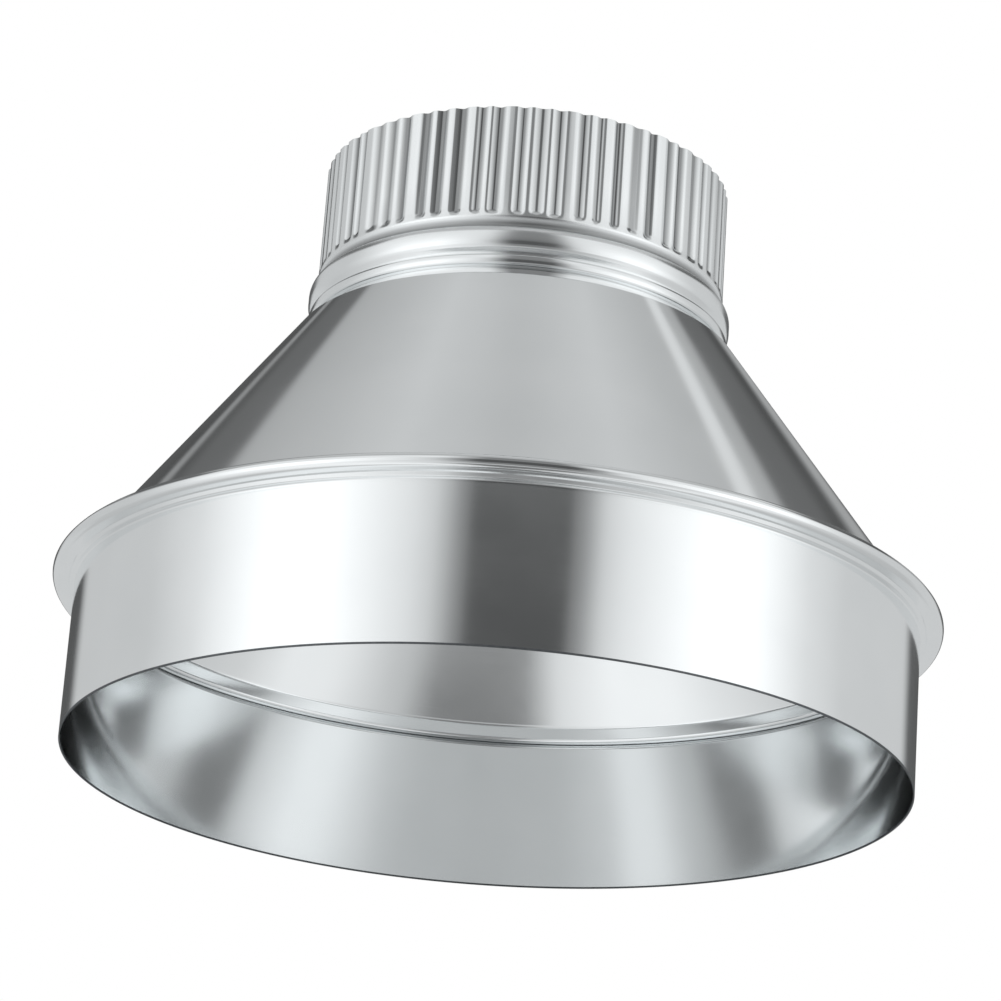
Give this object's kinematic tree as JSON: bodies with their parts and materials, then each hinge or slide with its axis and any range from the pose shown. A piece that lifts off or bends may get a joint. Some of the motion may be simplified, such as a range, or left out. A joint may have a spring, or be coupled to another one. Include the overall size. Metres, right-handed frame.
{
  "type": "duct reducer",
  "caption": "Round sheet-metal duct reducer: plain large collar, straight taper and crimped small collar with a stop bead, joined by folded seams.",
  "frame": {"origin": "centre of the large collar's open rim, on the duct axis", "axes": "+Z along the duct axis from the large end to the crimped end; +X through the crest of one crimp"},
  "size_m": [0.2688, 0.2688, 0.1911],
  "materials": {
    "galvanised_sheet": "bright smooth galvanised sheet, near-mirror, faint rolling grain"
  },
  "bodies": {
    "root": {"large_collar": "galvanised_sheet", "taper_cone": "galvanised_sheet", "crimped_collar": "galvanised_sheet"}
  },
  "joints": []
}
